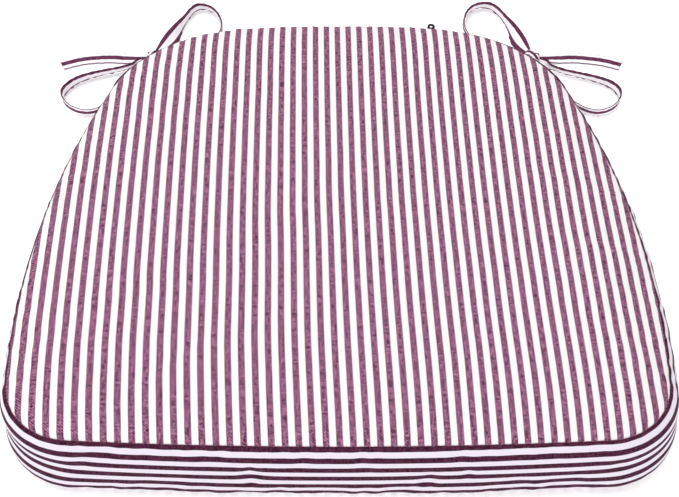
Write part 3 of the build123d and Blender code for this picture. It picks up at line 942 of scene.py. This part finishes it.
# --- materials ----------------------------------------------------------------------------------
class Graph:
    """Wires up one procedural material."""

    def __init__(self, name, roughness, **sockets):
        self.material = bpy.data.materials.new(name)
        self.material.use_nodes = True
        self.tree = self.material.node_tree
        self.shader = self.tree.nodes["Principled BSDF"]
        self.shader.inputs["Roughness"].default_value = roughness
        for socket, value in sockets.items():
            self.shader.inputs[socket.replace("_", " ")].default_value = value

    def node(self, kind, inputs, **settings):
        """Add a node, set its settings, and link or set its inputs."""
        node = self.tree.nodes.new(kind)
        for setting, value in settings.items():
            setattr(node, setting, value)
        for key, value in inputs.items():
            if isinstance(value, bpy.types.NodeSocket):
                self.tree.links.new(value, node.inputs[key])
            else:
                node.inputs[key].default_value = value
        return node

    def math(self, operation, *values, clamp=False):
        return self.node("ShaderNodeMath", dict(enumerate(values)), operation=operation,
                         use_clamp=clamp).outputs[0]

    def mix(self, factor, first, second):
        node = self.node("ShaderNodeMix", {0: factor, 6: first, 7: second}, data_type="RGBA")
        return node.outputs[2]

    def noise(self, vector, scale, detail=2.0):
        node = self.node("ShaderNodeTexNoise", {"Vector": vector, "Scale": scale, "Detail": detail})
        return node.outputs["Fac"]

    def scaled(self, vector, factors):
        return self.node("ShaderNodeVectorMath", {0: vector, 1: factors}, operation="MULTIPLY").outputs[0]

    def spread(self, value, low, high):
        """Map low..high to 0..1, clamped."""
        return self.node("ShaderNodeMapRange", {"Value": value, "From Min": low, "From Max": high}).outputs[0]

    def finish(self, colour, height, distance):
        """Connect the colour and a bump of that height, in millimetres."""
        self.tree.links.new(colour, self.shader.inputs["Base Color"])
        bump = self.node("ShaderNodeBump", {"Height": height, "Distance": distance * MM, "Strength": 1.0})
        self.tree.links.new(bump.outputs[0], self.shader.inputs["Normal"])
        return self.material


THREAD_PITCH = 0.62
TWILL_PITCH = 1.9
FLECK_RANGE = (1.22, 1.86)


def ticking(name, burgundy, fleck, white, duty=0.5):
    """Yarn-dyed striped ticking: plain weave whose pale weft shows as flecks in the stripes."""
    graph = Graph(name, 0.82, Specular_IOR_Level=0.05, Sheen_Weight=0.03,
                  Sheen_Roughness=0.5)
    place = graph.node("ShaderNodeAttribute", {}, attribute_name="fabric").outputs["Vector"]
    parts = graph.node("ShaderNodeSeparateXYZ", {0: place}).outputs
    uneven = graph.math("MULTIPLY", graph.math("SUBTRACT", graph.noise(place, 1.3), 0.5), 0.35)
    across = graph.math("DIVIDE", graph.math("ADD", parts[0], uneven), STRIPE_PITCH)
    fold = graph.math("ADD", graph.math("PINGPONG", across, 0.5), parts[2])
    stripe = graph.spread(fold, duty / 2 + 0.018, duty / 2 - 0.018)
    warp = graph.math("SINE", graph.math("MULTIPLY", parts[0], tau / THREAD_PITCH))
    weft = graph.math("SINE", graph.math("MULTIPLY", parts[1], tau / THREAD_PITCH))
    weave = graph.math("MULTIPLY", warp, weft)
    slub = graph.noise(graph.scaled(place, (0.9, 0.16, 1.0)), 1.0, 3.0)
    picks = graph.noise(graph.scaled(place, (0.25, 0.8, 1.0)), 1.0, 3.0)
    cells = graph.noise(place, 0.6, 2.0)
    diagonal = graph.math("ADD", parts[0], parts[1])
    twill = graph.math("SINE", graph.math("MULTIPLY", diagonal, tau / TWILL_PITCH))
    mottle = graph.math("ADD", graph.math("ADD", slub, picks), cells)
    shown = graph.spread(graph.math("ADD", mottle, graph.math("MULTIPLY", twill, 0.2)), *FLECK_RANGE)
    dyed = graph.mix(shown, burgundy, fleck)
    plain = graph.mix(graph.spread(slub, 0.3, 0.75), white, tuple(0.96 * c for c in white[:3]) + (1,))
    colour = graph.mix(stripe, plain, dyed)
    height = graph.math("ADD", graph.math("MULTIPLY", weave, 0.5), graph.math("MULTIPLY", slub, 0.6))
    return graph.finish(colour, height, 0.05)


def thread_like(name, colour, shade, scale, roughness=0.6, bump=0.04, **sockets):
    """Yarn, foam, wadding, nylon or enamel: fine streaks and mottling in two close colours."""
    graph = Graph(name, roughness, **sockets)
    place = graph.node("ShaderNodeTexCoord", {}).outputs["Object"]
    fine = graph.noise(place, scale / MM, 3.0)
    coarse = graph.noise(place, scale / MM / 7, 2.0)
    blend = graph.spread(graph.math("ADD", fine, coarse), 0.7, 1.3)
    return graph.finish(graph.mix(blend, colour, shade), fine, bump)


# Painted light: this copy of the ticking, used on the top and the base, has brighter burgundy and more pale
# flecks than the same fabric on the boxing, for the stronger light on the top.
lit_top_ticking = ticking(
    "striped ticking, top",
    burgundy=(0.035, 0.003, 0.015, 1),
    fleck=(0.46, 0.185, 0.32, 1),
    white=(0.785, 0.77, 0.785, 1),
)
# Painted shade: this copy of the same ticking, on the boxing and the zip gussets, has darker burgundy, fewer
# flecks and a greyer lavender white, for the shade on the upright boxing.
boxing_ticking = ticking(
    "striped ticking, boxing",
    burgundy=(0.012, 0.001, 0.006, 1),
    fleck=(0.12, 0.028, 0.068, 1),
    white=(0.735, 0.68, 0.765, 1),
    duty=0.52,
)
# Painted light: this copy of the same ticking, on the bows, has its white painted brighter than the top's, to
# offset the shade on the upright loops.
tie_ticking = ticking(
    "striped ticking, ties",
    burgundy=(0.065, 0.008, 0.036, 1),
    fleck=(0.19, 0.055, 0.12, 1),
    white=(0.90, 0.875, 0.91, 1),
    duty=0.58,
)
sewing_thread = thread_like("sewing thread", (0.22, 0.07, 0.13, 1), (0.42, 0.20, 0.29, 1), 2.2, 0.6)
tape_weave = thread_like("zip tape", (0.073, 0.010, 0.027, 1), (0.11, 0.02, 0.045, 1), 1.6, 0.8)
coil_nylon = thread_like("zip coil nylon", (0.064, 0.009, 0.022, 1), (0.04, 0.006, 0.014, 1), 0.6, 0.35, 0.01)
foam_cells = thread_like("open-cell foam", (0.80, 0.74, 0.52, 1), (0.62, 0.55, 0.34, 1), 0.7, 0.95, 0.5)
wadding_fibre = thread_like(
    "polyester wadding", (0.84, 0.85, 0.86, 1), (0.72, 0.73, 0.75, 1), 0.35, 0.95, 0.6)
zip_metal = thread_like(
    "dark enamelled metal", (0.013, 0.005, 0.007, 1), (0.022, 0.009, 0.013, 1), 0.5, 0.35, 0.01)


# --- what each piece stands for --------------------------------------------------------------
def place_piece(obj, body, slot, material, *nodes):
    """Give a piece its body and material, and hide the CAD nodes it replaces; slot is not used."""
    obj.data.materials.clear()
    obj.data.materials.append(material)
    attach(obj, body)
    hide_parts(*nodes)


place_piece(top_panel, "cushion", "ticking", lit_top_ticking, "top_panel")
place_piece(bottom_panel, "cushion", "ticking", lit_top_ticking, "bottom_panel")
place_piece(boxing, "cushion", "boxing_ticking", boxing_ticking, "boxing_strip")
place_piece(foam, "cushion", "foam", foam_cells, "foam_core")
place_piece(slider, "zip_slider", "zip_metal", zip_metal, "zip_slider")
place_piece(pull, "zip_pull", "zip_metal", zip_metal, "zip_pull")
for half in ("upper", "lower"):
    place_piece(gussets[half], "cushion", "boxing_ticking", boxing_ticking, f"zip_gusset_{half}")
    place_piece(coils[half], "cushion", "zip_coil", coil_nylon, f"zip_coil_{half}")
    place_piece(topstitches[half], "cushion", "thread", sewing_thread, f"zip_topstitch_{half}")
    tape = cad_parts[f"zip_tape_{half}"]
    tape.data.materials.clear()
    tape.data.materials.append(tape_weave)
for end, tack in end_tacks.items():
    place_piece(tack, "cushion", "thread", sewing_thread, f"zip_end_tack_{end}")
for seam in ("top", "bottom"):
    place_piece(seam_threads[seam], "cushion", "thread", sewing_thread, f"{seam}_seam_thread")
    place_piece(wadding[seam], "cushion", "wadding", wadding_fibre, f"wadding_{seam}")
for side in BOWS:
    place_piece(tie_tacks[side], "cushion", "thread", sewing_thread, f"{side}_tie_tack")
    place_piece(knots[side], "cushion", "tie_ticking", tie_ticking, f"{side}_bow_knot")
for (side, kind), (obj, path, length) in straps.items():
    place_piece(obj, "cushion", "tie_ticking", tie_ticking, f"{side}_{kind}_tie")

# --- floor and light ---------------------------------------------------------------------------
FLOOR_REACH = 6000
floor_corners = [(x * FLOOR_REACH, y * FLOOR_REACH, 0) for x, y in ((-1, -1), (1, -1), (1, 1), (-1, 1))]
floor = build("floor", floor_corners, [(0, 1, 2, 3)])
paper = Graph("studio paper", 0.9)
grain = paper.noise(paper.node("ShaderNodeTexCoord", {}).outputs["Object"], 40.0)
paper.shader.inputs["Emission Color"].default_value = (1, 1, 1, 1)
paper.shader.inputs["Emission Strength"].default_value = 0.35
floor.data.materials.append(paper.finish(
    paper.mix(grain, (0.93, 0.93, 0.93, 1), (0.95, 0.95, 0.95, 1)), grain, 0.01))

world = bpy.data.worlds.new("studio")
world.use_nodes = True
world.node_tree.nodes["Background"].inputs["Color"].default_value = (1, 1, 1, 1)
world.node_tree.nodes["Background"].inputs["Strength"].default_value = 0.85
bpy.context.scene.world = world


def soft_light(name, place, size, power):
    """A square light aimed at the middle of the pad; place and size are in metres."""
    lamp = bpy.data.lights.new(name, "AREA")
    lamp.size = size
    lamp.energy = power
    obj = bpy.data.objects.new(name, lamp)
    obj.location = place
    obj.rotation_euler = (-Vector(place)).to_track_quat("-Z", "Y").to_euler()
    bpy.context.scene.collection.objects.link(obj)


soft_light("key", place=(-0.7, -0.1, 1.7), size=1.2, power=17)
soft_light("fill", place=(0.9, -1.3, 1.2), size=1.5, power=4)

bpy.context.scene.view_settings.view_transform = "Standard"
